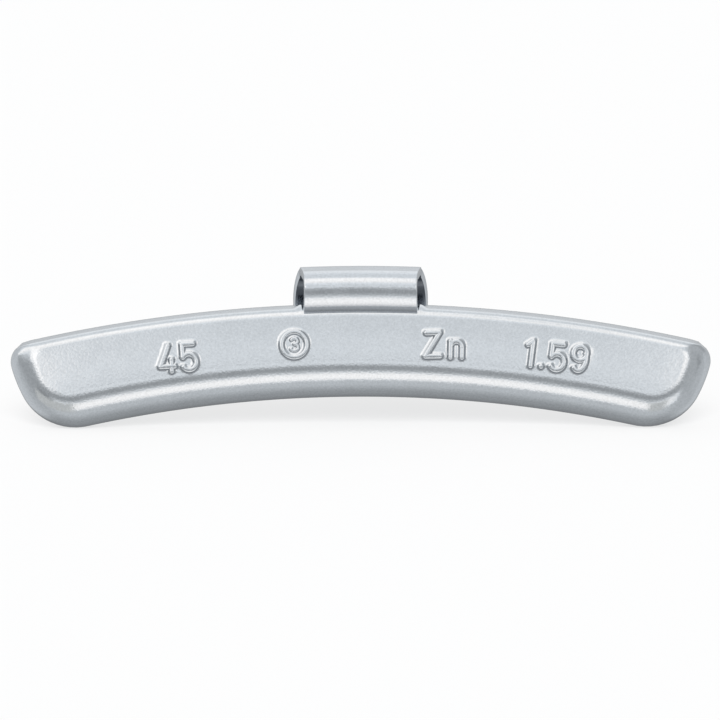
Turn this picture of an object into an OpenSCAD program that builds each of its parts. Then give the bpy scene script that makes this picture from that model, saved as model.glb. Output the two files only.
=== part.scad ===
// Clip-on balance weight for a wheel's rim: a die-cast zinc bar, curved to the rim, with a
// spring-steel clip whose foot is cast into it. The clip hooks over the edge of the rim's flange.
// Frame: X along the bar, Z outwards from the wheel's axis, and the marked face towards -Y.
// The origin is the middle of the clip's seat on the flange's edge, in the plane of the bar's back.

/* [Rim] */
// Radius of the rim flange's edge, on which the clip sits
rim_r = 220.3; // [200:0.1:245]
// Widest gap between the bar's back and the clip's rear leg, where the flange goes
flange_gap = 4.6; // [4.4:0.1:6]
// From the clip's seat down to the bar's outer edge
lip_gap = 4.1; // [3.8:0.1:5]

/* [Zinc bar] */
// Length of the bar, end to end
bar_l = 100; // [80:1:115]
// Height of the bar at mid-length
bar_h = 13.4; // [12.8:0.1:16]
// Thickness of the bar, front to back
bar_t = 5.2; // [5:0.1:6.5]
// Radius of the bar's hollow edge, which faces the wheel's axis
hollow_r = 183.5; // [175:0.5:210]
// Radius of the two corners on the outer edge
outer_corner_r = 3; // [2.6:0.1:4]
// Radius of the two corners on the hollow edge
inner_corner_r = 8.2; // [6.5:0.1:8.5]
// Radius of the bulge of the bar's ends, between the corners
end_bulge_r = 20.5; // [15:0.5:40]
// Slope of the ends where they leave the outer corners
end_slope = 14; // [10:0.5:16]
// Rounding of the edges round the bar's flat back
back_round = 0.35; // [0.2:0.05:0.5]

/* [Rolled front edge] */
// How far the roll takes up the face along the outer edge
outer_roll_w = 1.1; // [0.6:0.1:1.6]
// How deep the roll reaches along the outer edge
outer_roll_d = 1.1; // [0.6:0.1:1.6]
// How far the roll takes up the face at the ends
end_roll_w = 4.5; // [3:0.1:5]
// How deep the roll reaches at the ends
end_roll_d = 3.8; // [2:0.1:4.2]
// How far the roll takes up the face along the hollow edge
inner_roll_w = 5.9; // [4:0.1:6.2]
// How deep the roll reaches along the hollow edge
inner_roll_d = 4.5; // [3:0.1:4.6]
// Radius of the flat face's two corners by the outer edge
face_outer_corner_r = 1.2; // [0.6:0.1:1.8]
// Radius of the flat face's two corners by the hollow edge
face_inner_corner_r = 3.6; // [2.5:0.1:4.5]

/* [Steel clip] */
// Thickness of the clip's strip
strip_t = 1.2; // [0.8:0.1:1.4]
// Width of the strip at the front of its bends
front_w = 15.8; // [12:0.1:17]
// Width of the strip over the flange's edge, where it starts to flare
top_w = 17.5; // [16:0.1:19]
// Width of the strip's rear leg
rear_w = 19.6; // [18:0.1:24]
// How far behind the bar's back the strip starts to flare
flare_y = 2.4; // [1:0.1:3]
// Flat run of the strip over the flange's edge
top_run = 4.2; // [3.6:0.1:4.8]
// Inside radius of the bend from the top to the shoulder
shoulder_bend_r = 1.7; // [1.4:0.1:2.2]
// Angle of that bend
shoulder_angle = 38; // [30:1:44]
// Inside radius of the tight bend below the shoulder
knuckle_bend_r = 0.3; // [0.2:0.1:0.6]
// Angle of that bend
knuckle_angle = 55; // [48:1:60]
// Inside radius of the strip's front face, which is nearly flat
face_bend_r = 7; // [6:0.5:9]
// Angle through which the front face curves
face_angle = 19; // [15:1:22]
// Inside radius of the bend that tucks the strip into the bar
tuck_bend_r = 1.2; // [0.9:0.1:1.5]
// Angle of that bend
tuck_angle = 38; // [32:1:42]
// Depth of the strip's foot in the bar
foot_depth = 7; // [6.5:0.1:9]
// Inside radius of the bend between the foot and the front bend
foot_bend_r = 1.4; // [1:0.1:2]
// Length of the rear leg's straight run
leg_run = 3.2; // [2:0.1:6]
// Slope of the rear leg towards the bar, which grips the flange
grip_angle = 4; // [0:0.5:4]
// Slope of the lead-in at the leg's tip
lead_angle = 22; // [10:1:30]
// Inside radius of the bend between the leg and its lead-in
lead_bend_r = 1.5; // [1:0.1:3]
// Length of the lead-in's straight run
lead_run = 1; // [0.4:0.1:2]
// Radius of the rear leg's two corners
tip_corner_r = 2.5; // [1:0.1:4]
// Diameter of the foot's two holes, through which the zinc locks
lock_hole_d = 2.6; // [2:0.1:3]
// Distance between those holes
lock_hole_pitch = 8.5; // [6:0.1:10]

/* [Hidden] */
zinc_colour = "silver";
steel_colour = "lightsteelblue";

// Outlines in the front view: [x, z] points, and angles from +Z towards +X
wheel_axis = [0, -rim_r];
outer_r = rim_r - lip_gap;
hollow_axis = [0, -lip_gap - bar_h - hollow_r];

function on_arc(centre, r, a) = centre + r * [sin(a), cos(a)];
function angle_of(way) = atan2(way.x, way.y);
function mix(a, b, k) = a + (b - a) * k;

// The point on the +X side that lies at one reach from each of two centres, by the cosine rule
function meeting(a, reach_a, b, reach_b) = let (
    way = b - a,
    turn = acos((pow(reach_a, 2) + way * way - pow(reach_b, 2)) / (2 * reach_a * norm(way))),
    places = [for (side = [-1, 1]) on_arc(a, reach_a, angle_of(way) + side * turn)]
  )
  places[0].x > places[1].x ? places[0] : places[1];

// Steps along each stretch of a half outline, and round each roll
outer_steps = 18;
outer_corner_steps = 12;
end_steps = 4;
inner_corner_steps = 12;
hollow_steps = 18;
roll_steps = 12;
back_steps = 2;

// Points after the first of an arc, each with its outward normal's angle: [point, angle]
function arc(centre, r, start, stop, steps, turn = 0) =
  [for (i = [1:steps]) let (a = mix(start, stop, i / steps)) [on_arc(centre, r, a), a + turn]];

// Half of an outline, from the outer edge's middle round the end to the hollow edge's. Its corners
// touch the outer edge and the end's arc from within, and the hollow edge's arc from outside.
function half_outline(outer, corner, corner_r, end_r, inner_corner, inner_r, hollow) = let (
    corner_start = angle_of(corner - wheel_axis),
    end_start = angle_of(corner - end_centre),
    end_stop = angle_of(inner_corner - end_centre),
    hollow_start = angle_of(inner_corner - hollow_axis)
  )
  concat(
    [[on_arc(wheel_axis, outer, 0), 0]],
    arc(wheel_axis, outer, 0, corner_start, outer_steps),
    arc(corner, corner_r, corner_start, end_start, outer_corner_steps),
    arc(end_centre, end_r, end_start, end_stop, end_steps),
    arc(inner_corner, inner_r, end_stop, hollow_start + 180, inner_corner_steps),
    arc(hollow_axis, hollow, hollow_start, 0, hollow_steps, 180)
  );
function both_halves(half) = concat(
  half,
  [for (i = [len(half) - 2:-1:1]) let (p = half[i]) [[-p[0].x, p[0].y], 360 - p[1]]]
);

// Outline of the bar, whose ends bulge round a centre of their own
outer_corner = on_arc(wheel_axis, outer_r - outer_corner_r,
  asin((bar_l / 2 - outer_corner_r) / (outer_r - outer_corner_r)));
end_centre = on_arc(outer_corner, outer_corner_r - end_bulge_r, 90 + end_slope);
inner_corner = meeting(hollow_axis, hollow_r + inner_corner_r, end_centre, end_bulge_r - inner_corner_r);
outline = both_halves(half_outline(
  outer_r, outer_corner, outer_corner_r, end_bulge_r, inner_corner, inner_corner_r, hollow_r));

// Outline of the flat face, inside the rolled edge
face_outer_r = outer_r - outer_roll_w;
face_end_r = end_bulge_r - end_roll_w;
face_hollow_r = hollow_r + inner_roll_w;
face_outer_corner = meeting(
  wheel_axis, face_outer_r - face_outer_corner_r, end_centre, face_end_r - face_outer_corner_r);
face_inner_corner = meeting(
  hollow_axis, face_hollow_r + face_inner_corner_r, end_centre, face_end_r - face_inner_corner_r);
face_outline = both_halves(half_outline(
  face_outer_r, face_outer_corner, face_outer_corner_r, face_end_r,
  face_inner_corner, face_inner_corner_r, face_hollow_r));

// Depth of the rolled edge where the bar's normal points at angle a
function roll_depth(a) =
  mix(cos(a) > 0 ? outer_roll_d : inner_roll_d, end_roll_d, pow(sin(a), 2));

// Rings from the bar's flat back to its face. The roll is a quarter of an ellipse at every point.
function back_ring(f) = [for (p = outline) let (w = back_round * (1 - cos(f)))
  [p[0].x - w * sin(p[1]), -back_round * (1 - sin(f)), p[0].y - w * cos(p[1])]];
function front_ring(f) = [for (i = [0:len(outline) - 1]) let (
    p = mix(outline[i][0], face_outline[i][0], 1 - cos(f))
  )
  [p.x, roll_depth(outline[i][1]) * (1 - sin(f)) - bar_t, p.y]];
bar_rings = concat(
  [for (i = [back_steps:-1:0]) back_ring(90 * i / back_steps)],
  [for (i = [0:roll_steps]) front_ring(90 * i / roll_steps)]
);

// Side profile of the clip's strip: each row is [straight run, bend's angle, bend's inside radius].
// A bend to the right is positive, going forwards from the seat or backwards from it.
strip_mid = strip_t / 2;
seat_mid = [0, strip_mid];
foot_y = -bar_t / 2;
foot_z = -lip_gap - foot_depth;
front_bends = [
  [top_run, -shoulder_angle, shoulder_bend_r],
  [0, -knuckle_angle, knuckle_bend_r],
  [0, -face_angle, face_bend_r],
  [0, -tuck_angle, tuck_bend_r]
];
rear_bends = [
  [0, 90 + grip_angle, flange_gap],
  [leg_run, -grip_angle - lead_angle, lead_bend_r],
  [lead_run, 0, 0]
];
bend_step = 5;

// Heading h is the angle from +Z towards +Y. Points along the strip's middle: [[y, z], heading]
function ahead(h) = [sin(h), cos(h)];
function beside(h) = [cos(h), -sin(h)];
function mid_line(bends, p, h, i = 0) = i == len(bends) ? [] : let (
    start = p + bends[i][0] * ahead(h),
    turn = bends[i][1],
    side = sign(turn) * (bends[i][2] + strip_mid),
    centre = start + side * beside(h),
    steps = max(1, ceil(abs(turn) / bend_step)),
    first = bends[i][0] > 0 ? 0 : 1
  )
  concat(
    [for (k = [first:turn == 0 ? 0 : steps]) let (a = h + turn * k / steps) [centre - side * beside(a), a]],
    mid_line(bends, centre - side * beside(h + turn), h + turn, i + 1)
  );
function last(list) = list[len(list) - 1];
function reversed(list) = [for (i = [len(list) - 1:-1:0]) list[i]];
function strip_side(line, s) = [for (p = line) p[0] + s * strip_mid * beside(p[1])];

// The foot's bend brings the strip upright in the middle of the bar's thickness
bent_line = mid_line(front_bends, seat_mid, -90);
foot_lean = shoulder_angle + knuckle_angle + face_angle + tuck_angle - 90;
foot_mid_r = foot_bend_r + strip_mid;
tuck_run = (foot_y - last(bent_line)[0].x - foot_mid_r * (1 - cos(foot_lean))) / sin(foot_lean);
foot_line = mid_line([[tuck_run, foot_lean, foot_bend_r]], last(bent_line)[0], last(bent_line)[1]);
foot_bend_z = last(foot_line)[0].y;
front_line = concat([[seat_mid, -90]], bent_line, foot_line, [[[foot_y, foot_z], -180]]);
rear_line = mid_line(rear_bends, seat_mid, 90);
outer_side = concat(reversed(strip_side(front_line, 1)), strip_side(rear_line, -1));
inner_side = concat(reversed(strip_side(rear_line, 1)), strip_side(front_line, -1));

rear_y = flange_gap + strip_t;
front_y = min([for (p = outer_side) p.x]);
tip_z = last(outer_side).y;
spare = 5;
slice_fn = 720;
hole_fn = 48;
hole_z = (foot_bend_z + foot_z) / 2;

module bar_blank() {
  n = len(outline);
  points = [for (ring = bar_rings) each ring];
  faces = concat(
    [[for (i = [0:n - 1]) i]],
    [for (r = [0:len(bar_rings) - 2], i = [0:n - 1])
      [r * n + i, (r + 1) * n + i, (r + 1) * n + (i + 1) % n, r * n + (i + 1) % n]],
    [[for (i = [n - 1:-1:0]) (len(bar_rings) - 1) * n + i]]
  );
  polyhedron(points, faces);
}

// The strip's profile revolved round the wheel's axis, which lies along Y
module revolved_strip() {
  half_angle = asin((rear_w / 2 + spare) / (rim_r + foot_z));
  translate([0, 0, -rim_r])
    rotate(-120, [1, 1, 1])
      rotate([0, 0, -half_angle])
        rotate_extrude(angle = 2 * half_angle, $fn = slice_fn)
          polygon([for (p = concat(outer_side, inner_side)) [p.y + rim_r, p.x]]);
}

// The strip's plan: it widens from its front over the flange to the rear leg
module strip_plan() {
  half = [
    [front_w / 2, front_y],
    [top_w / 2, flare_y],
    [rear_w / 2, rear_y],
    [rear_w / 2, rear_y + spare]
  ];
  translate([0, 0, foot_z - spare])
    linear_extrude(strip_t - foot_z + 2 * spare)
      polygon(concat(
        [[-front_w / 2, front_y - spare], [front_w / 2, front_y - spare]],
        half,
        [for (p = reversed(half)) [-p.x, p.y]]
      ));
}

// What the rounding takes off the rear leg's lower corners, seen from behind
module tip_corners() {
  translate([0, rear_y + spare, tip_z + tip_corner_r])
    rotate([90, 0, 0])
      linear_extrude(rear_y + spare - flange_gap / 2)
        for (side = [0, 1])
          mirror([side, 0])
            translate([rear_w / 2 - tip_corner_r, 0])
              difference() {
                translate([0, -tip_corner_r - spare]) square(tip_corner_r + spare);
                circle(tip_corner_r, $fn = hole_fn);
              }
}

// The foot's holes, which the zinc fills
module lock_holes() {
  for (side = [-1, 1])
    translate([side * lock_hole_pitch / 2, foot_y, hole_z])
      rotate([90, 0, 0])
        cylinder(h = bar_t, d = lock_hole_d, center = true, $fn = hole_fn);
}

module weight_body() {
  color(zinc_colour)
    difference() {
      bar_blank();
      spring_clip();
    }
}

module spring_clip() {
  color(steel_colour)
    difference() {
      intersection() {
        revolved_strip();
        strip_plan();
      }
      lock_holes();
      tip_corners();
    }
}

weight_body();
spring_clip();
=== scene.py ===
# Clip-on balance weight for a wheel's rim: a die-cast zinc bar with raised marks on its face,
# and the spring-steel clip that is cast into it. Sizes are in millimetres unless said otherwise.
from math import acos, asin, atan2, ceil, cos, pi, radians, sin

import bmesh
import bpy
import numpy as np
from mathutils import Matrix, Vector


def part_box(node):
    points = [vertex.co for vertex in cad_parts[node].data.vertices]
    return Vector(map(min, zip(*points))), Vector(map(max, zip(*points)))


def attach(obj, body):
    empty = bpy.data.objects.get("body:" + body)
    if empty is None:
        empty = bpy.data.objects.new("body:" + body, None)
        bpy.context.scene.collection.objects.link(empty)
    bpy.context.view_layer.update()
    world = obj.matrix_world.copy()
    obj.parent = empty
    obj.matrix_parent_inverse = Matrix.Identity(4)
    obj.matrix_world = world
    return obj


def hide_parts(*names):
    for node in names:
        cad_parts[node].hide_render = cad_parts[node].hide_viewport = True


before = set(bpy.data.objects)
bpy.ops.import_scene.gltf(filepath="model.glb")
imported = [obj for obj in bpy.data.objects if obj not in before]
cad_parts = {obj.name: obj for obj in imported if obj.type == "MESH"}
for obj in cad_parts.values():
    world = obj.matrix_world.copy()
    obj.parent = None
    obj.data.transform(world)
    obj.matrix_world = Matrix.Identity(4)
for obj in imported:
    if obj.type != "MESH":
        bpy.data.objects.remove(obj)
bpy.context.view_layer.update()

MM = 0.001

# Rim and outline of the bar, as in the part's source
RIM_R = 220.3
LIP_GAP = 4.1
BAR_L = 100.0
BAR_H = 13.44
BAR_T = 5.2
HOLLOW_R = 183.5
OUTER_CORNER_R = 3.0
INNER_CORNER_R = 8.2
END_BULGE_R = 20.5
END_SLOPE = radians(14)
# Rolled front edge: how far it takes up the face, and how deep it reaches
OUTER_ROLL = (1.1, 1.1)
END_ROLL = (4.5, 3.8)
INNER_ROLL = (5.9, 4.5)
FACE_OUTER_CORNER_R = 1.2
FACE_INNER_CORNER_R = 3.6
BACK_ROUND = 0.35
# The wall between the back and the rolled edge leans in towards the back on this radius
WALL_LEAN_R = 180.0
# Rise of the flat face's middle over its edges, and how far in from the ends it is full
CROWN = 0.06
CROWN_RUN = 2.0
# Zinc crept up beside the strip, on the wall at both of its edges: middle, half sizes and height
CREEP_MIDDLE = (8.4, -3.2)
CREEP_HALF = (1.25, 1.9)
CREEP_HEIGHT = 0.5

# Clip's strip, as in the part's source
STRIP_T = 1.2
FRONT_W = 15.8
TOP_W = 17.5
REAR_W = 19.4
FLARE_Y = 2.4
FLANGE_GAP = 4.6
# The rear leg widens downwards too, up to its full half width
LEG_SPREAD = 0.02
LEG_HALF_W = 9.75
TOP_RUN = 4.2
# Bends from the seat forwards: straight run before the bend, angle, inside radius
FRONT_BENDS = (
    (TOP_RUN, -38, 1.7),
    (0.0, -55, 0.3),
    (0.0, -19, 7.9),
    (0.0, -38, 1.2),
)
FOOT_BEND_R = 1.4
FOOT_DEPTH = 7.0
# Bends from the seat backwards
REAR_BENDS = (
    (0.0, 94, FLANGE_GAP),
    (3.2, -26, 1.5),
    (1.0, 0, 0.0),
)
TIP_CORNER_R = 2.5
# Shade is painted on the strip's inner side, inside the hook, and on its foot, where it goes into
# the zinc: how much at depths below the rim
FOOT_PAINTED_SHADE = ((3.15, 0.0), (3.5, 0.6), (6.0, 0.6))
STRIP_EDGE_R = 0.16
STRIP_COLUMNS = 48

# Mesh spacing: along the marks, elsewhere along the bar, and rows across the face. The faces near
# a stroke are cut finer still.
FINE = 0.14
COARSE = 0.6
FACE_ROWS = 54
STROKE_CUTS = 2
WALL_RINGS = 6
ROLL_RINGS = 26
# Rings of the roll crowd towards the face by this power
ROLL_CROWDING = 1.5
# Angles of the rings round the back's edge, and of the points along a curved stroke
BACK_TURNS = (90, 60, 30)
STROKE_TURN = 8
# Room beside the marks that is cut finely too
ZONE_MARGIN = 0.2
# Faces whose middles lie no deeper than this behind the front can carry a stroke
STROKE_DEPTH = 0.3
# The wall on top of the bar lies above this depth under the outer edge's middle
TOP_WALL_DEPTH = 1.0
# Lengths of the strip's faces, near the rear leg's tip and elsewhere, and rows down its foot
TIP_STEP = 0.2
STRIP_STEP = 0.6
FOOT_ROWS = 6
# Angle, in degrees, past which the strip's edges are rounded
SHARP_ANGLE = 50
# Angles, in degrees, up to which the clip's and the bar's faces are shaded as one surface
CLIP_SMOOTH_ANGLE = 35
BAR_SMOOTH_ANGLE = 80

WHEEL_AXIS = Vector((0, -RIM_R))
HOLLOW_AXIS = Vector((0, -LIP_GAP - BAR_H - HOLLOW_R))
OUTER_R = RIM_R - LIP_GAP


def on_arc(centre, radius, angle):
    """Point of the front view at an angle measured from +Z towards +X."""
    return centre + radius * Vector((sin(angle), cos(angle)))


def angle_of(way):
    """Angle of a direction in the front view, from +Z towards +X."""
    return atan2(way.x, way.y)


def meeting(centre_a, reach_a, centre_b, reach_b):
    """The point, on the +X side, that lies at one reach from each centre."""
    way = centre_b - centre_a
    turn = acos((reach_a**2 + way.length_squared - reach_b**2) / (2 * reach_a * way.length))
    places = [on_arc(centre_a, reach_a, angle_of(way) + side * turn) for side in (-1, 1)]
    return max(places, key=lambda place: place.x)


def half_outline(outer_r, corner, corner_r, end_centre, end_r, inner_corner, inner_r, hollow_r):
    """Arcs from the outer edge's middle to the hollow edge's: centre, radius, first and last
    angle, and the normal's turn from the radius."""
    corner_start = angle_of(corner - WHEEL_AXIS)
    end_start = angle_of(corner - end_centre)
    end_stop = angle_of(inner_corner - end_centre)
    hollow_start = angle_of(inner_corner - HOLLOW_AXIS)
    return (
        (WHEEL_AXIS, outer_r, 0.0, corner_start, 0.0),
        (corner, corner_r, corner_start, end_start, 0.0),
        (end_centre, end_r, end_start, end_stop, 0.0),
        (inner_corner, inner_r, end_stop, hollow_start + pi, 0.0),
        (HOLLOW_AXIS, hollow_r, hollow_start, 0.0, pi),
    )


# The bar's outline. Its corners touch the outer edge and the bulge of the end from within, and
# the hollow edge from outside.
edge_start = asin((BAR_L / 2 - OUTER_CORNER_R) / (OUTER_R - OUTER_CORNER_R))
edge_corner = on_arc(WHEEL_AXIS, OUTER_R - OUTER_CORNER_R, edge_start)
END_CENTRE = on_arc(edge_corner, OUTER_CORNER_R - END_BULGE_R, pi / 2 + END_SLOPE)
EDGE = half_outline(
    OUTER_R, edge_corner, OUTER_CORNER_R, END_CENTRE, END_BULGE_R,
    meeting(HOLLOW_AXIS, HOLLOW_R + INNER_CORNER_R, END_CENTRE, END_BULGE_R - INNER_CORNER_R),
    INNER_CORNER_R, HOLLOW_R,
)
# The flat face's outline, inside the rolled edge
face_outer_r = OUTER_R - OUTER_ROLL[0]
face_end_r = END_BULGE_R - END_ROLL[0]
face_hollow_r = HOLLOW_R + INNER_ROLL[0]
FACE = half_outline(
    face_outer_r,
    meeting(
        WHEEL_AXIS, face_outer_r - FACE_OUTER_CORNER_R,
        END_CENTRE, face_end_r - FACE_OUTER_CORNER_R,
    ),
    FACE_OUTER_CORNER_R, END_CENTRE, face_end_r,
    meeting(
        HOLLOW_AXIS, face_hollow_r + FACE_INNER_CORNER_R,
        END_CENTRE, face_end_r - FACE_INNER_CORNER_R,
    ),
    FACE_INNER_CORNER_R, face_hollow_r,
)
# Chains of arcs, from the bar's middle outwards and round the end: arc, first and last share.
# They part in the middle of the corners, where the face's grid has its own corners.
OUTER_CHAIN = ((0, 0.0, 1.0), (1, 0.0, 0.5))
END_CHAIN = ((1, 0.5, 1.0), (2, 0.0, 1.0), (3, 0.0, 0.5))
HOLLOW_CHAIN = ((4, 1.0, 0.0), (3, 1.0, 0.5))
# Columns of the grid are upright as far out as this
UPRIGHT = 36.0


def arc_length(index, first, last):
    _, radius, start, stop, _ = FACE[index]
    return radius * abs(stop - start) * abs(last - first)


def chain_length(chain):
    return sum(arc_length(*part) for part in chain)


def station(chain, distance):
    """Arc and share at a distance along a chain, measured on the face, and the side of the bar."""
    left = abs(distance)
    for index, first, last in chain:
        length = arc_length(index, first, last)
        if left <= length:
            break
        left -= length
    return index, first + (last - first) * min(left / length, 1), 1 if distance >= 0 else -1


def place_on(arcs, spot):
    """Point and normal's angle of a station on the outline's or the face's arcs."""
    index, share, side = spot
    centre, radius, start, stop, turn = arcs[index]
    angle = start + (stop - start) * share
    point = on_arc(centre, radius, angle)
    return Vector((side * point.x, point.y)), side * (angle + turn)


def spread(limit, zones):
    """Distances from -limit to limit, close together in the zones and wide apart between them."""
    places = [-limit]
    while places[-1] < limit:
        here = places[-1]
        fine = any(low <= here < high for low, high in zones)
        ahead = [low - here for low, high in zones if low > here]
        step = FINE if fine else max(min([COARSE] + ahead), FINE / 2)
        places.append(here + step)
    places[-1] = limit
    return places


def hollow_distance(distance):
    """Where a column that starts on the outer edge ends on the hollow edge."""
    if abs(distance) <= UPRIGHT:
        return distance
    share = (abs(distance) - UPRIGHT) / (chain_length(OUTER_CHAIN) - UPRIGHT)
    reach = UPRIGHT + share * (chain_length(HOLLOW_CHAIN) - UPRIGHT)
    return reach if distance > 0 else -reach


def outline_stations(columns, rows):
    """Stations once round: outer edge, right end, hollow edge, left end."""
    end_length = chain_length(END_CHAIN)
    right_end = [station(END_CHAIN, end_length * k / rows) for k in range(1, rows)]
    left_end = [(index, share, -side) for index, share, side in reversed(right_end)]
    outer = [station(OUTER_CHAIN, distance) for distance in columns]
    hollow = [station(HOLLOW_CHAIN, hollow_distance(distance)) for distance in reversed(columns)]
    return outer + right_end + hollow + left_end


def blend(low, high, share):
    return low + (high - low) * share


def roll_depth(angle):
    """Depth of the rolled edge where the outline's normal points at that angle."""
    edge = OUTER_ROLL if cos(angle) > 0 else INNER_ROLL
    return blend(edge[1], END_ROLL[1], sin(angle) ** 2)


def bar_rings(spots):
    """Rings from the back's flat face, over the parting ledge and the wall, to the front face."""
    edge = [place_on(EDGE, spot) for spot in spots]
    face = [place_on(FACE, spot)[0] for spot in spots]

    def lean(angle, depth):
        """How far the wall stands in at a depth behind the start of the rolled edge."""
        return (BAR_T + depth - roll_depth(angle)) ** 2 / (2 * WALL_LEAN_R)

    def wall_ring(share):
        ring = []
        for point, angle in edge:
            depth = blend(-BACK_ROUND, roll_depth(angle) - BAR_T, share)
            inset = lean(angle, depth)
            place = Vector((point.x - inset * sin(angle), depth, point.y - inset * cos(angle)))
            ring.append(MM * place)
        return ring

    rings = []
    for turn in BACK_TURNS:
        f = radians(turn)
        back = BACK_ROUND * (1 - cos(f))
        rings.append([
            MM * Vector((
                point.x - (back + lean(angle, -BACK_ROUND)) * sin(angle),
                -BACK_ROUND * (1 - sin(f)),
                point.y - (back + lean(angle, -BACK_ROUND)) * cos(angle),
            ))
            for point, angle in edge
        ])
    rings += [wall_ring(k / WALL_RINGS) for k in range(WALL_RINGS)]
    for k in range(ROLL_RINGS + 1):
        f = pi / 2 * (1 - (1 - k / ROLL_RINGS) ** ROLL_CROWDING)
        ring = []
        for (point, angle), inner in zip(edge, face):
            place = point.lerp(inner, 1 - cos(f))
            ring.append(MM * Vector((place.x, roll_depth(angle) * (1 - sin(f)) - BAR_T, place.y)))
        rings.append(ring)
    return rings


# Raised marks: strokes of the engraver's cutter in a character's own frame, x right and z up
def line(*points):
    return [np.array(points, float)]


def arc(centre, radii, start, stop):
    """Part of an ellipse as a run of points; angles in degrees from +x, counter-clockwise."""
    steps = max(2, ceil(abs(stop - start) / STROKE_TURN))
    angles = np.radians(np.linspace(start, stop, steps + 1))
    return [np.array(centre) + np.stack([radii[0] * np.cos(angles), radii[1] * np.sin(angles)], 1)]


FOUR = line((0.33, 1.73), (-0.94, -1.24), (1.05, -1.28)) + line((0.68, -0.33), (0.6, -1.97))
FIVE = line((0.6, 1.71), (-0.95, 1.71), (-0.98, -0.06)) + arc((-0.12, -0.86), (1.03, 1.15), 142, -143)
ONE = line((-0.5, 1.2), (0.15, 1.77), (0.15, -1.77))
POINT = line((0.0, -1.72), (0.0, -1.7))
NINE = arc((0.0, 0.75), (0.95, 1.02), 0, 360) + arc((-0.05, 0.0), (1.0, 1.77), 25, -125)
CAPITAL_Z = line((-0.9, 1.68), (0.99, 1.73), (-1.04, -1.69), (1.05, -1.66))
SMALL_N = (
    line((-0.87, 1.15), (-0.87, -1.15))
    + arc((-0.06, 0.3), (0.81, 0.87), 180, 0)
    + line((0.75, 0.3), (0.75, -1.15))
)
RING = arc((0.0, 0.0), (1.8, 1.85), 0, 360)
SMALL_THREE = (
    arc((0.0, 0.46), (0.46, 0.42), 150, -80)
    + arc((0.0, -0.43), (0.52, 0.48), 85, -150)
)

# Each mark: its strokes, the middle of it on the face, its tilt in degrees, the stroke's size
MARKS = (
    (FOUR, (-27.5, -11.1), 4.0, 1.0),
    (FIVE, (-24.25, -10.82), 4.0, 1.0),
    (RING, (-9.4, -9.2), 0.0, 0.9),
    (SMALL_THREE, (-9.4, -9.2), 0.0, 0.62),
    (CAPITAL_Z, (10.2, -9.25), 0.0, 1.0),
    (SMALL_N, (13.6, -9.95), -1.0, 1.0),
    (ONE, (24.1, -10.55), -6.5, 1.0),
    (POINT, (25.75, -10.72), -6.5, 1.0),
    (FIVE, (28.0, -10.95), -6.5, 1.0),
    (NINE, (31.0, -11.29), -6.5, 1.0),
)
# Sections of a stroke of size 1: slope, in degrees, at distances from its middle. The crest is
# gently round and the flanks are steep. Below a stroke its foot runs out softly; above it the foot
# has the draft that frees the casting from its mould.
BEAD_BELOW = ((0.0, 0), (0.19, 6), (0.26, 21), (0.33, 56), (0.45, 60), (0.51, 10), (0.66, 0))
BEAD_ABOVE = ((0.0, 0), (0.19, 6), (0.26, 20), (0.33, 40), (0.44, 42), (0.55, 20), (0.75, 12), (0.88, 0))
# Points along a section
SECTION_STEPS = 200
# As far out as this, a stroke needs the finest faces
BEAD_CORE = 0.56
# How much higher, per mm, the upper side of a stroke stands than its lower side
BEAD_TILT = 0.3
# Painted shade along the lower flank of a stroke, under it: how much, at distances from its middle
BEAD_PAINTED_SHADE = ((0.28, 0), (0.36, 1), (0.5, 0.9), (0.62, 0))


def mark_strokes(mark):
    """A mark's strokes moved to their place on the face."""
    strokes, middle, tilt, _ = mark
    across = (cos(radians(tilt)), sin(radians(tilt)))
    turn = np.array((across, (-across[1], across[0])))
    return [stroke @ turn + np.array(middle) for stroke in strokes]


def fine_zones():
    """Stretches along the bar that hold marks or crept zinc, joined where they meet."""
    spans = [[side * CREEP_MIDDLE[0] - CREEP_HALF[0], side * CREEP_MIDDLE[0] + CREEP_HALF[0]]
             for side in (-1, 1)]
    for mark in MARKS:
        xs = np.concatenate([stroke[:, 0] for stroke in mark_strokes(mark)])
        reach = mark[3] * BEAD_CORE + ZONE_MARGIN
        spans.append([xs.min() - reach, xs.max() + reach])
    zones = []
    for low, high in sorted(spans):
        if zones and low <= zones[-1][1]:
            zones[-1][1] = max(high, zones[-1][1])
        else:
            zones.append([low, high])
    return zones


def stroke_distance(places, stroke):
    """Distance of each place from a run of points, and how far above it the place lies."""
    best = np.full(len(places), np.inf)
    above = np.zeros(len(places))
    for start, stop in zip(stroke[:-1], stroke[1:]):
        way = stop - start
        share = np.clip((places - start) @ way / max(way @ way, 1e-9), 0, 1)
        offset = places - start - share[:, None] * way
        far = np.linalg.norm(offset, axis=1)
        above = np.where(far < best, offset[:, 1], above)
        best = np.minimum(best, far)
    return best, above


def bead_section(slopes):
    """Heights of a stroke's section at even steps from its middle outwards, from 1 to 0, and the
    height in mm of its middle."""
    far = np.linspace(0, slopes[-1][0], SECTION_STEPS)
    steepness = np.tan(np.radians(np.interp(far, *np.transpose(slopes))))
    drops = (steepness[1:] + steepness[:-1]) / 2 * far[1]
    heights = np.concatenate([np.cumsum(drops[::-1])[::-1], [0.0]])
    return far, heights / heights[0], heights[0]


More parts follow.
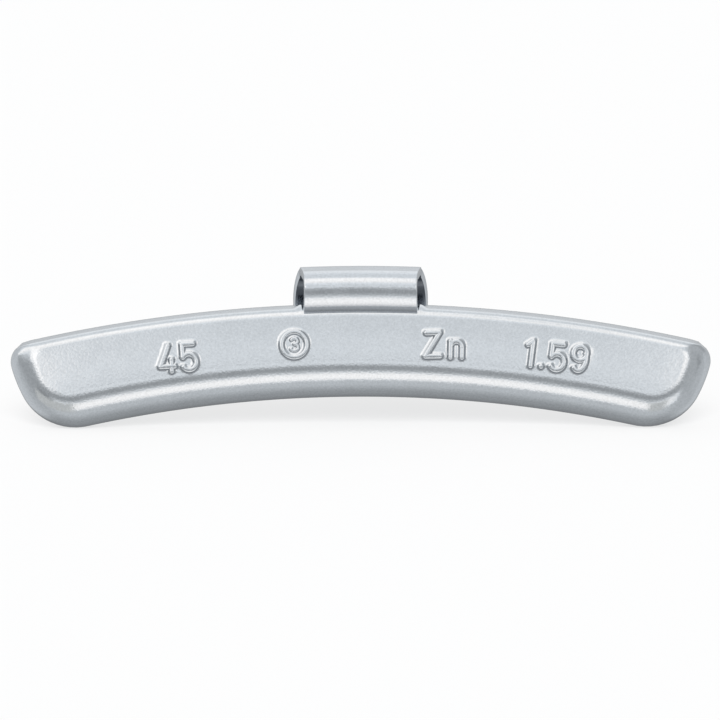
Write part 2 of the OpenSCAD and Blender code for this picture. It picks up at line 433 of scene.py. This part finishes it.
def mark_relief(places):
    """How far the face stands out at each place, by the nearest stroke of every mark, and how much
    shade is painted there."""
    heights = np.zeros(len(places))
    painted_shade_map = np.zeros(len(places))
    far_below, below, height = bead_section(BEAD_BELOW)
    far_above, over, _ = bead_section(BEAD_ABOVE)
    for mark in MARKS:
        size = mark[3]
        for stroke in mark_strokes(mark):
            reach, above = stroke_distance(places, stroke)
            upward = (1 + above / np.maximum(reach, 0.001)) / 2
            low = np.interp(reach / size, far_below, below)
            high = np.interp(reach / size, far_above, over)
            rise = size * height * blend(low, high, upward**2) * (1 + BEAD_TILT * above)
            painted_shade = np.interp(reach / size, *np.transpose(BEAD_PAINTED_SHADE)) * (1 - upward)
            # Only the stroke that stands highest shows
            shown = rise >= heights
            painted_shade_map = np.where(shown, painted_shade, painted_shade_map)
            heights = np.maximum(heights, rise)
    return heights, painted_shade_map


def crown(places):
    """Gentle rise of the face between its edges."""
    from_outer = face_outer_r - np.linalg.norm(places - np.array(WHEEL_AXIS), axis=1)
    from_hollow = np.linalg.norm(places - np.array(HOLLOW_AXIS), axis=1) - face_hollow_r
    aside = np.abs(places[:, 0])
    from_end = face_end_r - np.hypot(aside - END_CENTRE.x, places[:, 1] - END_CENTRE.y)
    from_end = np.where(aside < END_CENTRE.x, face_end_r, from_end)
    share = np.clip(from_outer / (from_outer + from_hollow), 0, 1)
    full = 1 - np.exp(-np.clip(from_end, 0, None) / CROWN_RUN)
    return CROWN * 4 * share * (1 - share) * full


def start_piece(name):
    """Names the primitive that was just added and opens it for editing."""
    piece = bpy.context.object
    piece.name = name
    piece.data.name = name
    bpy.ops.object.mode_set(mode="EDIT")
    return piece


def loft(name, rings):
    """A closed form: a disc laid on the first ring and extruded from each ring to the next."""
    bpy.ops.object.select_all(action="DESELECT")
    bpy.ops.mesh.primitive_circle_add(vertices=len(rings[0]), radius=BAR_T * MM, fill_type="NGON")
    piece = start_piece(name)
    mesh = bmesh.from_edit_mesh(piece.data)
    spot = mesh.verts.layers.int.new("station")
    level = mesh.verts.layers.int.new("level")
    for vertex in mesh.verts:
        vertex[spot] = vertex.index
    for k, ring in enumerate(rings):
        if k > 0:
            bpy.ops.mesh.extrude_region_move()
            mesh = bmesh.from_edit_mesh(piece.data)
            spot = mesh.verts.layers.int["station"]
            level = mesh.verts.layers.int["level"]
        for vertex in mesh.verts:
            if vertex.select:
                vertex.co = ring[vertex[spot]]
                vertex[level] = k
    bmesh.update_edit_mesh(piece.data)
    return piece


def fill_face(piece, last_level, columns, rows):
    """Changes the front's single face for columns of faces from the outer to the hollow edge."""
    bpy.ops.mesh.delete(type="ONLY_FACE")
    bpy.ops.mesh.select_all(action="DESELECT")
    mesh = bmesh.from_edit_mesh(piece.data)
    spot = mesh.verts.layers.int["station"]
    level = mesh.verts.layers.int["level"]
    across = len(columns) - 1
    outer = range(0, across + 1)
    hollow = range(across + rows, 2 * across + rows + 1)
    for edge in mesh.edges:
        ends = [vertex[spot] for vertex in edge.verts]
        on_edge = all(end in outer for end in ends) or all(end in hollow for end in ends)
        if edge.is_boundary and on_edge and all(vertex[level] == last_level for vertex in edge.verts):
            edge.select = True
    bmesh.update_edit_mesh(piece.data)
    bpy.ops.mesh.bridge_edge_loops(number_cuts=rows - 1, interpolation="LINEAR")
    # What is left open at each end of the face
    bpy.ops.mesh.select_all(action="DESELECT")
    bpy.ops.mesh.select_non_manifold(extend=False, use_wire=True, use_boundary=True,
                                     use_multi_face=False, use_non_contiguous=False, use_verts=False)
    bpy.ops.mesh.edge_face_add()


def cut_strokes(piece):
    """Cuts the face finer wherever a stroke's bead will rise."""
    mesh = bmesh.from_edit_mesh(piece.data)
    middles = np.array([face.calc_center_median() for face in mesh.faces]) / MM
    front = middles[:, 1] < STROKE_DEPTH - BAR_T
    near = np.zeros(len(middles), bool)
    for mark in MARKS:
        reach = mark[3] * BEAD_CORE + FINE / 2
        for stroke in mark_strokes(mark):
            near |= stroke_distance(middles[:, [0, 2]], stroke)[0] < reach
    bpy.ops.mesh.select_all(action="DESELECT")
    for face, chosen in zip(mesh.faces, near & front):
        face.select = bool(chosen)
    bmesh.update_edit_mesh(piece.data)
    bpy.ops.mesh.subdivide(number_cuts=STROKE_CUTS)


def raise_face(piece):
    """Lifts the face along the marks' strokes, and the wall where zinc crept up beside the strip."""
    count = len(piece.data.vertices)
    coords = np.empty(count * 3)
    piece.data.vertices.foreach_get("co", coords)
    coords = coords.reshape(-1, 3) / MM
    flat = coords[:, 1] < 0.001 - BAR_T
    coords[flat, 1] -= crown(coords[flat][:, [0, 2]])
    front = coords[:, 1] < -BAR_T + OUTER_ROLL[1]
    relief, painted_shade_map = mark_relief(coords[front][:, [0, 2]])
    coords[front, 1] -= relief
    # Painted shade under the strokes, kept in the piece's attribute for its material
    painted_shade = np.zeros(count)
    painted_shade[front] = painted_shade_map
    piece.data.attributes.new("painted_shade", "FLOAT", "POINT").data.foreach_set("value", painted_shade)
    over = coords[:, 2] > -LIP_GAP - TOP_WALL_DEPTH
    aside = (np.abs(coords[:, 0]) - CREEP_MIDDLE[0]) / CREEP_HALF[0]
    along = (coords[:, 1] - CREEP_MIDDLE[1]) / CREEP_HALF[1]
    far = np.clip(np.hypot(aside, along), 0, 1)
    coords[over, 2] += (CREEP_HEIGHT * 0.5 * (1 + np.cos(pi * far)))[over]
    piece.data.vertices.foreach_set("co", (coords * MM).ravel())
    piece.data.update()


def cast_bar():
    """The zinc bar, with its marks raised on the face."""
    columns = spread(chain_length(OUTER_CHAIN), fine_zones())
    rings = bar_rings(outline_stations(columns, FACE_ROWS))
    piece = loft("cast_bar", rings)
    fill_face(piece, len(rings) - 1, columns, FACE_ROWS)
    cut_strokes(piece)
    bpy.ops.mesh.select_all(action="SELECT")
    bpy.ops.mesh.normals_make_consistent(inside=False)
    bpy.ops.object.mode_set(mode="OBJECT")
    raise_face(piece)
    return piece


def ahead(heading):
    """Direction in the side view, (y, z), at an angle from +Z towards +Y."""
    return Vector((sin(heading), cos(heading)))


def beside(heading):
    """Direction to the right of a heading."""
    return Vector((cos(heading), -sin(heading)))


def bend(point, heading, bends, step=radians(5)):
    """Middle of the strip through a row of bends: [(point, heading)], from the given start."""
    places = [(point, heading)]
    for run, degrees_turned, inside_r in bends:
        if run:
            point = point + run * ahead(heading)
            places.append((point, heading))
        turn = radians(degrees_turned)
        if turn:
            side = (1 if turn > 0 else -1) * (inside_r + STRIP_T / 2)
            centre = point + side * beside(heading)
            steps = ceil(abs(turn) / step)
            for k in range(1, steps + 1):
                angle = heading + turn * k / steps
                places.append((centre - side * beside(angle), angle))
            heading += turn
            point = places[-1][0]
    return places


def strip_line():
    """Middle of the whole strip, from the foot's end over the seat to the rear leg's tip."""
    seat = Vector((0, STRIP_T / 2))
    bent = bend(seat, -pi / 2, FRONT_BENDS)
    point, heading = bent[-1]
    # From the last bend the strip runs on to where one more bend turns it straight down
    lean = heading + pi
    foot_y = -BAR_T / 2
    foot_bend_r = FOOT_BEND_R + STRIP_T / 2
    run = abs((foot_y - point.x - foot_bend_r * (1 - cos(lean))) / sin(lean))
    foot = bend(point, heading, ((run, -np.degrees(lean), FOOT_BEND_R),))
    foot_z = -LIP_GAP - FOOT_DEPTH
    last = foot[-1][0]
    shares = [k / FOOT_ROWS for k in range(1, FOOT_ROWS + 1)]
    down = [(Vector((foot_y, blend(last.y, foot_z, share))), -pi) for share in shares]
    front = [(place, way + pi) for place, way in bent + foot[1:] + down]
    return front[::-1] + bend(seat, pi / 2, REAR_BENDS)[1:]


# Front, start of the flare and back of the strip, seen from above
STRIP_PLAN_Y = (
    min(point.x for point, _ in strip_line()) - STRIP_T / 2,
    FLARE_Y,
    FLANGE_GAP + STRIP_T,
)


def strip_half_width(y, z):
    """Half the strip's width at a place in the side view."""
    half = np.interp(y, STRIP_PLAN_Y, (FRONT_W / 2, TOP_W / 2, REAR_W / 2))
    if y > FLARE_Y:
        half = min(half + LEG_SPREAD * max(0.0, -z), LEG_HALF_W)
    return half


def bent_clip():
    """The strip as it comes from the press tool: a flat blank with its thickness, then bent."""
    places = refine(strip_line())
    rows = len(places) - 1
    bpy.ops.object.select_all(action="DESELECT")
    bpy.ops.mesh.primitive_grid_add(x_subdivisions=STRIP_COLUMNS, y_subdivisions=rows, size=2)
    piece = start_piece("bent_clip")
    bpy.ops.object.mode_set(mode="OBJECT")
    wall = piece.modifiers.new("wall", "SOLIDIFY")
    wall.thickness = STRIP_T
    wall.offset = 0
    bpy.ops.object.modifier_apply(modifier="wall")
    lengths = [0.0]
    for (here, _), (there, _) in zip(places[:-1], places[1:]):
        lengths.append(lengths[-1] + (there - here).length)
    painted_shade = piece.data.attributes.new("painted_shade", "FLOAT", "POINT")
    for vertex in piece.data.vertices:
        inner = vertex.co.z > 0
        row = round((vertex.co.y + 1) / 2 * rows)
        middle, heading = places[row]
        y, z = middle + vertex.co.z * beside(heading)
        half = strip_half_width(y, z)
        to_tip = lengths[-1] - lengths[row]
        if to_tip < TIP_CORNER_R:
            half -= TIP_CORNER_R - (TIP_CORNER_R**2 - (TIP_CORNER_R - to_tip) ** 2) ** 0.5
        radius = RIM_R + z
        turn = asin(half / radius) * vertex.co.x
        vertex.co = MM * Vector((radius * sin(turn), y, radius * cos(turn) - RIM_R))
        # Painted shade: all over the inner side, and on the front where the strip dips into the zinc
        in_front = y < 0 and z < 0
        foot_shade = in_front * np.interp(-z, *np.transpose(FOOT_PAINTED_SHADE))
        painted_shade.data[vertex.index].value = 1.0 if inner else foot_shade
    bpy.ops.object.mode_set(mode="EDIT")
    bpy.ops.mesh.select_all(action="SELECT")
    bpy.ops.mesh.normals_make_consistent(inside=False)
    bpy.ops.object.mode_set(mode="OBJECT")
    return piece


def refine(places):
    """Adds rows to the long straight runs, and close to the tip where its corners are rounded."""
    fine = [places[0]]
    for k in range(1, len(places)):
        (here, heading), (there, next_heading) = places[k - 1], places[k]
        length = (there - here).length
        left = sum((places[j + 1][0] - places[j][0]).length for j in range(k - 1, len(places) - 1))
        step = TIP_STEP if left < 2 * TIP_CORNER_R else STRIP_STEP
        parts = max(1, ceil(length / step))
        for part in range(1, parts + 1):
            share = part / parts
            fine.append((here.lerp(there, share), blend(heading, next_heading, share)))
    return fine


def round_edges(piece, radius, angle):
    """Rounds the edges that turn by more than an angle in degrees."""
    edges = piece.modifiers.new("edges", "BEVEL")
    edges.width = radius * MM
    edges.segments = 3
    edges.limit_method = "ANGLE"
    edges.angle_limit = radians(angle)
    bpy.context.view_layer.objects.active = piece
    bpy.ops.object.modifier_apply(modifier="edges")


# A vertex whose normal points this far along the bar lies on one of the strip's cut edges
EDGE_NORMAL_X = 0.35


def clear_edge_shade(piece):
    """Takes the painted shade off the strip's cut edges, whatever the sides they lie between."""
    painted_shade = piece.data.attributes["painted_shade"]
    for vertex in piece.data.vertices:
        if abs(vertex.normal.x) > EDGE_NORMAL_X:
            painted_shade.data[vertex.index].value = 0.0


def smooth(piece, angle):
    bpy.ops.object.select_all(action="DESELECT")
    piece.select_set(True)
    bpy.context.view_layer.objects.active = piece
    bpy.ops.object.shade_smooth_by_angle(angle=radians(angle))


def node(tree, kind, place, **values):
    """Adds a node to a material's or the world's tree."""
    made = tree.nodes.new(kind)
    made.location = place
    for name, value in values.items():
        setattr(made, name, value)
    return made


# What is left of the metal's colour where shade is painted on it
PAINTED_SHADE_TINT = (0.4, 0.41, 0.43)
# Size of the patches in the gloss, how much the gloss changes there, and the patches' share of the
# speckle in the colour
PATCH_SIZE = 3.0
PATCH_GLOSS = (0.9, 1.1)
PATCH_SPECKLE = 3
# Octaves of the grain and of the patches, and the part of a noise's range that is spread out
GRAIN_DETAIL = 3
PATCH_DETAIL = 4
NOISE_RANGE = (0.3, 0.7)


def metal(name, colour, roughness, speckle, grain_size, grain_height):
    """Satin metal: speckled grain in its colour and surface, soft patches in its gloss, and painted
    shade by the piece's own attribute."""
    material = bpy.data.materials.new(name)
    material.use_nodes = True
    tree = material.node_tree
    shader = tree.nodes["Principled BSDF"]
    shader.inputs["Metallic"].default_value = 1.0
    place = node(tree, "ShaderNodeTexCoord", (-1400, 0))

    def noise(position, size, detail):
        made = node(tree, "ShaderNodeTexNoise", position)
        made.inputs["Scale"].default_value = 1 / (size * MM)
        made.inputs["Detail"].default_value = detail
        tree.links.new(place.outputs["Object"], made.inputs["Vector"])
        return made.outputs["Fac"]

    def spread_out(position, value, low, high):
        made = node(tree, "ShaderNodeMapRange", position)
        made.inputs["From Min"].default_value = NOISE_RANGE[0]
        made.inputs["From Max"].default_value = NOISE_RANGE[1]
        made.inputs["To Min"].default_value = low
        made.inputs["To Max"].default_value = high
        tree.links.new(value, made.inputs["Value"])
        return made.outputs["Result"]

    grain = noise((-1100, 200), grain_size, GRAIN_DETAIL)
    patches = noise((-1100, -100), PATCH_SIZE, PATCH_DETAIL)
    soft = speckle / PATCH_SPECKLE
    both = node(tree, "ShaderNodeMath", (-600, 200), operation="ADD")
    tree.links.new(spread_out((-850, 300), grain, -speckle, speckle), both.inputs[0])
    tree.links.new(spread_out((-850, 50), patches, 1 - soft, 1 + soft), both.inputs[1])
    tint = node(tree, "ShaderNodeMix", (-350, 200), data_type="RGBA", blend_type="MULTIPLY")
    tint.inputs["Factor"].default_value = 1.0
    tint.inputs["A"].default_value = (*colour, 1)
    tree.links.new(both.outputs["Value"], tint.inputs["B"])
    painted_shade = node(tree, "ShaderNodeAttribute", (-350, 450), attribute_name="painted_shade")
    darker = node(tree, "ShaderNodeMix", (-100, 200), data_type="RGBA", blend_type="MULTIPLY")
    darker.inputs["B"].default_value = (*PAINTED_SHADE_TINT, 1)
    tree.links.new(painted_shade.outputs["Fac"], darker.inputs["Factor"])
    tree.links.new(tint.outputs["Result"], darker.inputs["A"])
    tree.links.new(darker.outputs["Result"], shader.inputs["Base Color"])
    least, most = (roughness * share for share in PATCH_GLOSS)
    gloss = spread_out((-350, -50), patches, least, most)
    tree.links.new(gloss, shader.inputs["Roughness"])
    bump = node(tree, "ShaderNodeBump", (-350, -300))
    bump.inputs["Distance"].default_value = grain_height * MM
    tree.links.new(grain, bump.inputs["Height"])
    tree.links.new(bump.outputs["Normal"], shader.inputs["Normal"])
    return material


def dress(piece, material, node_name):
    """Gives a piece its material and its place in the frame."""
    piece.data.materials.clear()
    piece.data.materials.append(material)
    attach(piece, "root")
    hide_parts(node_name)


clip = bent_clip()
round_edges(clip, STRIP_EDGE_R, SHARP_ANGLE)
clear_edge_shade(clip)
smooth(clip, CLIP_SMOOTH_ANGLE)
bar = cast_bar()
smooth(bar, BAR_SMOOTH_ANGLE)

zinc = metal(
    "die_cast_zinc", colour=(0.76, 0.79, 0.815), roughness=0.14, speckle=0.06,
    grain_size=0.32, grain_height=0.012,
)
steel = metal(
    "plated_spring_steel", colour=(0.76, 0.79, 0.82), roughness=0.14, speckle=0.06,
    grain_size=0.32, grain_height=0.008,
)
dress(bar, zinc, "weight_body")
dress(clip, steel, "spring_clip")


# Studio light on a ball round the object. Pitch, in degrees, runs from the horizon before the face
# (0) over the top (90) to the horizon behind (180), and under the object from 0 to -180. Side is
# the angle to the right. Levels by pitch for the middle of the studio and for its two sides.
MIDDLE_LIGHT = (
    (-180, 0.55), (-165, 0.35), (-145, 0.24), (-126, 0.28), (-109, 0.34), (-97, 0.36), (-78, 0.49),
    (-64, 0.60), (-56.5, 0.59), (-52.5, 1.02), (-44, 1.14), (-37, 1.04), (-33, 0.66), (-29, 0.44),
    (-25, 0.35), (-21, 0.36), (-16, 0.76), (-12.5, 0.88), (-6, 0.74), (2, 0.80), (28, 0.97),
    (45, 1.10), (62, 1.18), (80, 1.0), (105, 0.78), (117, 0.80), (140, 0.92), (165, 0.90),
    (170, 0.74), (172.5, 0.58), (180, 0.55),
)
LEFT_LIGHT = (
    (-180, 0.59), (-150, 0.63), (-110, 0.60), (-80, 0.53), (-55, 0.46), (-35, 0.40), (-18, 0.43),
    (-10, 0.54), (0, 0.76), (10, 0.92), (30, 1.05), (50, 1.17), (70, 1.0), (90, 0.87), (110, 0.75),
    (130, 0.63), (155, 0.61), (180, 0.59),
)
RIGHT_LIGHT = (
    (-180, 0.51), (-150, 0.58), (-127, 0.61), (-110, 0.56), (-92, 0.52), (-60, 0.52), (-44, 0.49),
    (-25, 0.47), (-10, 0.46), (0, 0.47), (20, 0.51), (60, 0.51), (90, 0.47), (120, 0.43),
    (150, 0.43), (175, 0.54), (180, 0.51),
)
# Side at which the middle's light gives way to that of the two sides, over how many degrees, and
# how far on each side of the middle the left one gives way to the right one
MIDDLE_SIDE = 25
SIDE_BLEND = 20
CENTRE_BLEND = 8.0
# No level is higher than this
TOP_LEVEL = 2.0
# Each panel: name, side and half width, pitch and half height, softness, level
PANELS = (
    ("key", -24, 10, 10, 22, 10, 1.2),
    ("left_edge", -17, 8, -8, 7, 9, 1.35),
    ("right_edge", 17, 7, -8, 8, 10, 1.25),
    ("left_gap", -25, 8, -34, 5, 6, 0.30),
    ("overhead", 20, 7, 54, 13, 8, 1.2),
    ("overhead_gap", 9, 5, 60, 14, 6, 0.95),
    ("bounce_right", 20, 8, -42, 8, 6, 1.0),
    ("right_gap", 62, 8, -30, 17, 10, 0.36),
)
# Tint of the dim and of the bright light, and the levels between which it changes
DIM_TINT = (0.97, 1.0, 1.03)
BRIGHT_TINT = (1.03, 1.0, 0.98)
TINT_LEVELS = (0.85, 1.1)
# Grey cards that stop the light from below at the ends of the bar: left and right edge of each
CARDS = (
    ("left_card", -100.0, -43.5),
    ("right_card", 44.5, 61.0),
)
# The roll at the bar's hollow edge, (y, z), from which the cards stand away at this pitch and this
# far, and how tall they are
CARD_AIM = (-3.5, -18.5)
CARD_PITCH = radians(-47)
CARD_DISTANCE = 60.0
CARD_H = 26.0
CARD_GREY = (0.99, 1.0, 0.99)
CARD_LEVEL = 0.6
# The floor's side in metres, its colour, and the part of its white that is its own
FLOOR_SIDE = 3
FLOOR_GREY = 0.22
FLOOR_GLOW = 0.648
FLOOR_ROUGHNESS = 0.9
# The lamp's strength, how wide it is and how far from the zenith it stands
LAMP_STRENGTH = 4.6
LAMP_WIDTH = radians(32)
LAMP_TILT = radians(60)


def studio_world():
    """The studio's light for the object, and plain white where the camera sees past the floor."""
    world = bpy.data.worlds.new("studio")
    bpy.context.scene.world = world
    world.use_nodes = True
    tree = world.node_tree
    tree.nodes.clear()

    def math(operation, *inputs):
        made = node(tree, "ShaderNodeMath", (0, 0), operation=operation)
        for socket, value in zip(made.inputs, inputs):
            if isinstance(value, (int, float)):
                socket.default_value = value
            else:
                tree.links.new(value, socket)
        return made.outputs["Value"]

    def smooth_step(value, low, high):
        made = node(tree, "ShaderNodeMapRange", (0, 0), interpolation_type="SMOOTHSTEP")
        made.inputs["From Min"].default_value = low
        made.inputs["From Max"].default_value = high
        tree.links.new(value, made.inputs["Value"])
        return made.outputs["Result"]

    def mixed(share, low, high):
        made = node(tree, "ShaderNodeMix", (0, 0), data_type="FLOAT")
        tree.links.new(share, made.inputs["Factor"])
        for name, value in (("A", low), ("B", high)):
            if isinstance(value, (int, float)):
                made.inputs[name].default_value = value
            else:
                tree.links.new(value, made.inputs[name])
        return made.outputs["Result"]

    def by_pitch(levels):
        made = node(tree, "ShaderNodeFloatCurve", (0, 0))
        points = made.mapping.curves[0].points
        for _ in levels[1:-1]:
            points.new(0.5, 0.5)
        for point, (height, level) in zip(points, levels):
            point.location = ((height + 180) / 360, level / TOP_LEVEL)
            point.handle_type = "AUTO_CLAMPED"
        made.mapping.update()
        tree.links.new(pitch_share, made.inputs["Value"])
        return math("MULTIPLY", made.outputs["Value"], TOP_LEVEL)

    way = node(tree, "ShaderNodeTexCoord", (-1600, 0))
    parts = node(tree, "ShaderNodeSeparateXYZ", (-1400, 0))
    tree.links.new(way.outputs["Generated"], parts.inputs["Vector"])
    x, y, z = (parts.outputs[axis] for axis in "XYZ")
    side = math("DEGREES", math("ARCSINE", x))
    pitch = math("DEGREES", math("ARCTAN2", z, math("MULTIPLY", y, -1.0)))
    pitch_share = math("DIVIDE", math("ADD", pitch, 180.0), 360.0)

    rightward = smooth_step(side, -CENTRE_BLEND, CENTRE_BLEND)
    away = math("ABSOLUTE", side)
    aside = smooth_step(away, MIDDLE_SIDE - SIDE_BLEND / 2, MIDDLE_SIDE + SIDE_BLEND / 2)
    middle_light = by_pitch(MIDDLE_LIGHT)
    side_light = mixed(rightward, by_pitch(LEFT_LIGHT), by_pitch(RIGHT_LIGHT))
    light = mixed(aside, middle_light, side_light)
    for name, turn, half_width, height, half_height, softness, level in PANELS:
        across = math("ABSOLUTE", math("SUBTRACT", side, float(turn)))
        above = math("ABSOLUTE", math("SUBTRACT", pitch, float(height)))
        inside = math(
            "MULTIPLY",
            smooth_step(across, half_width + softness / 2, half_width - softness / 2),
            smooth_step(above, half_height + softness / 2, half_height - softness / 2),
        )
        light = mixed(inside, light, level)
    tint = node(tree, "ShaderNodeMix", (-200, 0), data_type="RGBA")
    tint.inputs["A"].default_value = (*DIM_TINT, 1)
    tint.inputs["B"].default_value = (*BRIGHT_TINT, 1)
    tree.links.new(smooth_step(light, *TINT_LEVELS), tint.inputs["Factor"])

    studio = node(tree, "ShaderNodeBackground", (0, 0))
    tree.links.new(tint.outputs["Result"], studio.inputs["Color"])
    tree.links.new(light, studio.inputs["Strength"])
    white = node(tree, "ShaderNodeBackground", (0, -150))
    white.inputs["Color"].default_value = (1, 1, 1, 1)
    path = node(tree, "ShaderNodeLightPath", (0, 300))
    choice = node(tree, "ShaderNodeMixShader", (200, 0))
    tree.links.new(path.outputs["Is Camera Ray"], choice.inputs["Fac"])
    tree.links.new(studio.outputs["Background"], choice.inputs[1])
    tree.links.new(white.outputs["Background"], choice.inputs[2])
    end = node(tree, "ShaderNodeOutputWorld", (400, 0))
    tree.links.new(choice.outputs["Shader"], end.inputs["Surface"])


def grey_card(name, low_x, high_x):
    """A card before and below one end of the bar, seen in the metal's reflections only."""
    away = Vector((0, -cos(CARD_PITCH), sin(CARD_PITCH)))
    middle = Vector(((low_x + high_x) / 2, *CARD_AIM)) + CARD_DISTANCE * away
    turn = (-pi / 2 - CARD_PITCH, 0, 0)
    bpy.ops.object.select_all(action="DESELECT")
    bpy.ops.mesh.primitive_plane_add(size=1, location=MM * middle, rotation=turn)
    card = bpy.context.object
    card.name = name
    card.scale = (MM * (high_x - low_x), MM * CARD_H, 1)
    material = bpy.data.materials.new(name)
    material.use_nodes = True
    shader = material.node_tree.nodes["Principled BSDF"]
    shader.inputs["Base Color"].default_value = (0, 0, 0, 1)
    shader.inputs["Specular IOR Level"].default_value = 0.0
    shader.inputs["Emission Color"].default_value = (*CARD_GREY, 1)
    shader.inputs["Emission Strength"].default_value = CARD_LEVEL
    card.data.materials.append(material)
    card.visible_camera = False
    card.visible_diffuse = False
    card.visible_shadow = False


def pale_floor(height):
    """A wide pale floor: part of its white is its own, and the rest is the studio's light on it."""
    bpy.ops.object.select_all(action="DESELECT")
    bpy.ops.mesh.primitive_plane_add(size=FLOOR_SIDE, location=(0, 0, height))
    floor = bpy.context.object
    floor.name = "floor"
    material = bpy.data.materials.new("pale_floor")
    material.use_nodes = True
    shader = material.node_tree.nodes["Principled BSDF"]
    shader.inputs["Base Color"].default_value = (FLOOR_GREY, FLOOR_GREY, FLOOR_GREY, 1)
    shader.inputs["Roughness"].default_value = FLOOR_ROUGHNESS
    shader.inputs["Specular IOR Level"].default_value = 0.0
    shader.inputs["Emission Color"].default_value = (1, 1, 1, 1)
    shader.inputs["Emission Strength"].default_value = FLOOR_GLOW
    floor.data.materials.append(material)
    floor.visible_glossy = False


def front_light():
    """A soft lamp 30 degrees up before the face. The metal doesn't mirror it, so it lights the floor
    alone and lays the shadow behind the bar."""
    data = bpy.data.lights.new("front_light", "SUN")
    data.energy = LAMP_STRENGTH
    data.angle = LAMP_WIDTH
    lamp = bpy.data.objects.new("front_light", data)
    lamp.rotation_euler = (LAMP_TILT, 0, 0)
    lamp.visible_glossy = False
    bpy.context.scene.collection.objects.link(lamp)


def photo_camera():
    """The photograph's view: a long lens, 10 degrees above the face."""
    distance = 450.0
    elevation = radians(10)
    roll = radians(-0.097)
    view_width = 102.6
    # How far the view's middle lies left of the bar's middle and below it
    shift_left = 0.094
    shift_down = 0.898
    data = bpy.data.cameras.new("camera")
    data.sensor_width = 36.0
    data.lens = data.sensor_width * distance / view_width
    camera = bpy.data.objects.new("camera", data)
    bpy.context.scene.collection.objects.link(camera)
    turned = Matrix.Rotation(pi / 2 - elevation, 4, "X")
    right, up, back = (turned.to_3x3().col[k] for k in range(3))
    target = Vector((0, -2.6, -11)) - shift_left * right - shift_down * up
    camera.matrix_world = (
        Matrix.Translation(MM * (target + distance * back))
        @ turned
        @ Matrix.Rotation(roll, 4, "Z")
    )
    bpy.context.scene.camera = camera


studio_world()
for card_name, low_x, high_x in CARDS:
    grey_card(card_name, low_x, high_x)
pale_floor(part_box("weight_body")[0].z)
front_light()
photo_camera()
bpy.context.scene.view_settings.view_transform = "Standard"
